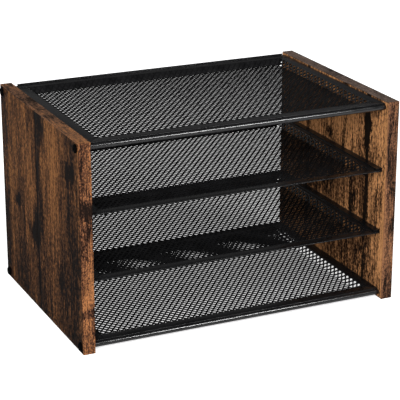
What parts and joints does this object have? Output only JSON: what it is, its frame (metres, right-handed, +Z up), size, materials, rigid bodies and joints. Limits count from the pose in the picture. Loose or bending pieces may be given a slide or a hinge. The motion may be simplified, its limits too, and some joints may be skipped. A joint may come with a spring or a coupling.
{
  "type": "paper tray",
  "caption": "Desktop paper organizer with wood-print board sides joined by rods and shallow expanded-metal trays; the inner trays pull out to the front on side runners.",
  "frame": {"origin": "on the desk, under the middle of the tray", "axes": "+X across the width, to the right seen from the front; the front faces -Y; +Z up"},
  "size_m": [0.3594, 0.238, 0.22],
  "materials": {
    "wood_print_board": "rustic brown wood print, satin",
    "wood_print_band": "rustic brown wood print, satin",
    "black_metal": "satin black powder coat",
    "black_screw": "satin black"
  },
  "bodies": {
    "stand": {"left_side_panel": "wood_print_board", "right_side_panel": "wood_print_board", "left_front_edge_band": "wood_print_band", "left_rear_edge_band": "wood_print_band", "left_bottom_edge_band": "wood_print_band", "left_top_edge_band": "wood_print_band", "right_front_edge_band": "wood_print_band", "right_rear_edge_band": "wood_print_band", "right_bottom_edge_band": "wood_print_band", "right_top_edge_band": "wood_print_band", "bottom_front_rod": "black_metal", "bottom_rear_rod": "black_metal", "top_front_rod": "black_metal", "top_rear_rod": "black_metal", "lower_left_runner": "black_metal", "lower_right_runner": "black_metal", "upper_left_runner": "black_metal", "upper_right_runner": "black_metal", "panel_screws": "black_screw", "bottom_tray_front_rim": "black_metal", "bottom_tray_rear_rim": "black_metal", "bottom_tray_left_rim": "black_metal", "bottom_tray_right_rim": "black_metal", "bottom_tray_mesh": "black_metal", "top_tray_front_rim": "black_metal", "top_tray_rear_rim": "black_metal", "top_tray_left_rim": "black_metal", "top_tray_right_rim": "black_metal", "top_tray_mesh": "black_metal"},
    "lower_tray": {"lower_tray_front_rim": "black_metal", "lower_tray_rear_rim": "black_metal", "lower_tray_left_rim": "black_metal", "lower_tray_right_rim": "black_metal", "lower_tray_mesh": "black_metal"},
    "upper_tray": {"upper_tray_front_rim": "black_metal", "upper_tray_rear_rim": "black_metal", "upper_tray_left_rim": "black_metal", "upper_tray_right_rim": "black_metal", "upper_tray_mesh": "black_metal"}
  },
  "joints": [
    {"name": "lower_tray_slide", "type": "slide", "parent": "stand", "child": "lower_tray", "axis": [0, -1, 0], "range_m": [0, 0.15]},
    {"name": "upper_tray_slide", "type": "slide", "parent": "stand", "child": "upper_tray", "axis": [0, -1, 0], "range_m": [0, 0.15]}
  ]
}
